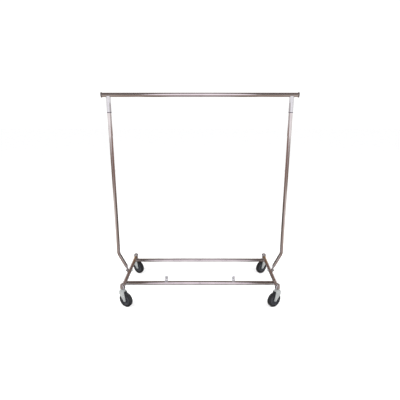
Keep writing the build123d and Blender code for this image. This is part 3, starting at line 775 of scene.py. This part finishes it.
def make_casters():
    """Tyre, wheel centre, and axle bolt with its nut, about the axis that each wheel spins on."""
    section, columns = tyre_profile(), core_columns()
    tyre = revolve(lambda i, angle: section, even_angles(WHEEL_STEPS), ring=True)
    core = revolve(lambda i, angle: core_profile(*columns[i]), [column[0] for column in columns], ring=True)
    bolt = hex_bolt(-FORK_OUTER, -FORK_OUTER - AXLE_HEAD, FORK_OUTER + AXLE_TIP, AXLE_FLAT_HALF,
                    AXLE_SHANK_R, AXLE_WASHER_R, WASHER_THICK, FORK_OUTER + AXLE_THREAD_FROM)
    nut = hex_nut(FORK_OUTER, FORK_OUTER + AXLE_NUT, AXLE_FLAT_HALF, AXLE_NUT_BORE_R, AXLE_WASHER_R)
    for joint in frame["joints"]:
        if not joint["name"].startswith("spin_"):
            continue
        corner = joint["name"].removeprefix("spin_")
        place = local_frame(joint["pos_m"], joint["axis"])
        make_piece(f"detail_tyre_{corner}", [(*tyre, place)], f"wheel_{corner}", "tyre", [f"tyre_{corner}"])
        make_piece(f"detail_core_{corner}", [(*core, place)], f"wheel_{corner}", "core_plastic",
                   [f"wheel_core_{corner}"])
        make_piece(f"detail_axle_{corner}", [(*bolt, place), (*nut, place)], f"caster_{corner}", "zinc",
                   [f"axle_{corner}"])


# ---------------------------------------------------------------------- welds
BEAD_STEPS = 10
BEAD_FLATNESS = 1.15                         # width to height
RIPPLE_LENGTH = 0.0023
RIPPLE_VALLEY, RIPPLE_RISE = 0.90, 0.16      # in bead thicknesses
TAPER_START, TAPER_STEP = 0.25, 0.2
BAR_BEAD = 0.0019
BAR_BEAD_POINTS = 220
BAR_BEAD_SINK = 0.0004
BAR_BEAD_OUT = 0.0016                        # from the side bar's middle, at top and bottom
BAR_BEAD_LEAN = 0.7
SOCKET_BEAD = 0.0015
SOCKET_BEAD_POINTS = 60
SOCKET_BEAD_BELOW = 0.0002                   # under the rail's skin
SOCKET_BEAD_LEAN = 0.4
SOCKET_BEAD_REACH = 0.0125                   # how far it runs to the front and rear


def sweep_bead(path, outward, thick, closed):
    """Weld bead along path, with ripples; outward points from each path point away from the metal."""
    vertices, faces, rings = [], [], []
    run = 0.0
    count = len(path)
    for i, point in enumerate(path):
        before = path[i - 1] if closed or i else point
        after = path[(i + 1) % count] if closed or i + 1 < count else point
        tangent = (after - before).normalized()
        normal = (outward[i] - outward[i].dot(tangent) * tangent).normalized()
        sideways = tangent.cross(normal)
        run += (point - path[i - 1]).length if i else 0.0
        size = thick * (RIPPLE_VALLEY + RIPPLE_RISE * abs(math.sin(math.pi * run / RIPPLE_LENGTH)))
        if not closed:
            size *= min(1.0, TAPER_START + TAPER_STEP * min(i, count - 1 - i))
        rings.append(len(vertices))
        for turn in even_angles(BEAD_STEPS):
            across = BEAD_FLATNESS * math.sin(turn) * sideways
            vertices.append(point + size * (math.cos(turn) * normal + across))
    for i in range(count if closed else count - 1):
        here, there = rings[i], rings[(i + 1) % count]
        for k in range(BEAD_STEPS):
            step = (k + 1) % BEAD_STEPS
            faces.append([here + k, there + k, there + step, here + step])
    if not closed:
        faces.append([rings[0] + k for k in range(BEAD_STEPS)])
        faces.append([rings[-1] + k for k in reversed(range(BEAD_STEPS))])
    return vertices, faces, Matrix.Identity(4)


def bar_joint(side, depth):
    """Bead round the end of a long bar, which is coped to the side bar."""
    path, outward = [], []
    for turn in even_angles(BAR_BEAD_POINTS):
        reach = math.hypot(TUBE_R * math.cos(turn), BAR_BEAD_OUT)
        radial = Vector((0, math.cos(turn), math.sin(turn)))
        middle_point = Vector((side * (SIDE_BAR_X - reach), depth, BAR_HEIGHT))
        path.append(middle_point + (TUBE_R - BAR_BEAD_SINK) * radial)
        outward.append(radial + Vector((-BAR_BEAD_LEAN * side * abs(math.cos(turn)), 0, 0)))
    return sweep_bead(path, outward, BAR_BEAD, closed=True)


def socket_joints(side):
    """Two beads where a socket's upper edge is coped to the underside of the rail."""
    beads = []
    for way in (-1, 1):
        path, outward = [], []
        for i in range(SOCKET_BEAD_POINTS + 1):
            y = SOCKET_BEAD_REACH * (2 * i / SOCKET_BEAD_POINTS - 1)
            x = way * math.sqrt(SOCKET_R ** 2 - y ** 2)
            drop = math.sqrt(TUBE_R ** 2 - y ** 2)
            path.append(Vector((side * SOCKET_X + x, y, RAIL_HEIGHT - drop - SOCKET_BEAD_BELOW)))
            down = Vector((0, y, -drop)).normalized()
            outward.append(Vector((x, y, 0)).normalized() + SOCKET_BEAD_LEAN * down)
        beads.append(sweep_bead(path, outward, SOCKET_BEAD, closed=False))
    return beads


def make_welds():
    for side_name, side in SIDES:
        for end, depth in LONG_BARS:
            make_piece(f"detail_weld_{end}_{side_name}", [bar_joint(side, depth)], "base_frame",
                       "chrome_fitting")
        make_piece(f"detail_weld_socket_{side_name}", socket_joints(side), "hanging_rail", "chrome_fitting")


make_casters()
make_welds()
make_pivots()
